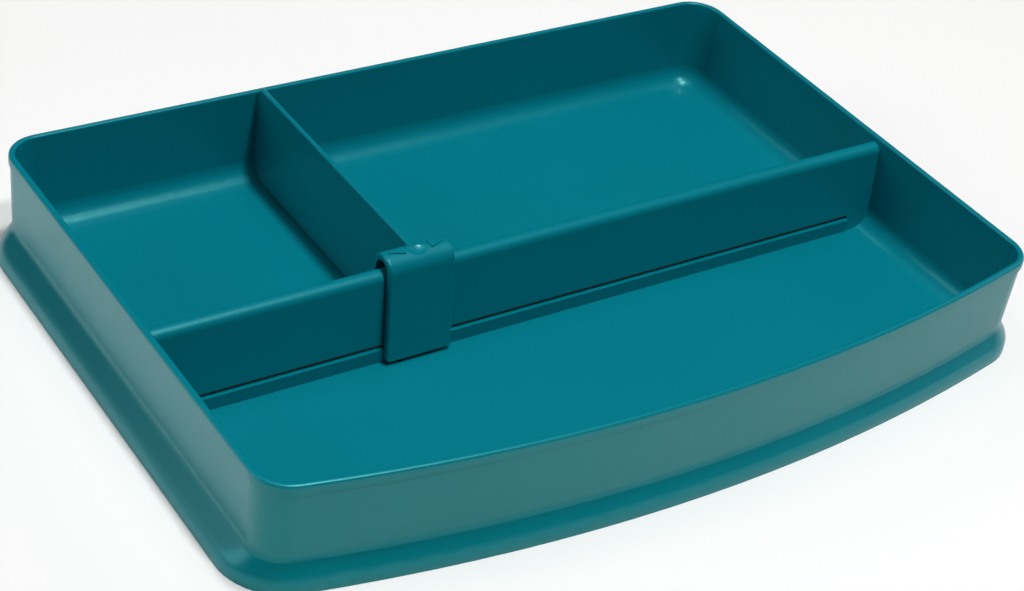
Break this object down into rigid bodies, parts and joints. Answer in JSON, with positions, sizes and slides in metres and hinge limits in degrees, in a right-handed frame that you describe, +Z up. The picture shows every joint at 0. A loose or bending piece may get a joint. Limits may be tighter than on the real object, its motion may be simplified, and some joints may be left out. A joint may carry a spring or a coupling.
{
  "type": "desk tray with sliding divider",
  "caption": "Shallow moulded desk tray with a bowed front, a flared foot, a fixed cross wall and a divider that slides along it.",
  "frame": {"origin": "middle of the tray's outline, on the surface that the tray stands on", "axes": "+X along the long side and the divider's slide, +Y towards the straight back edge, +Z up"},
  "size_m": [0.2552, 0.1792, 0.0356],
  "materials": {
    "moulded_plastic": "teal, satin as moulded"
  },
  "bodies": {
    "tray": {"tray": "moulded_plastic"},
    "divider": {"sliding_divider": "moulded_plastic"}
  },
  "joints": [
    {"name": "divider_slide", "type": "slide", "parent": "tray", "child": "divider", "axis": [1, 0, 0], "range_m": [-0.0604, 0.1456]}
  ]
}
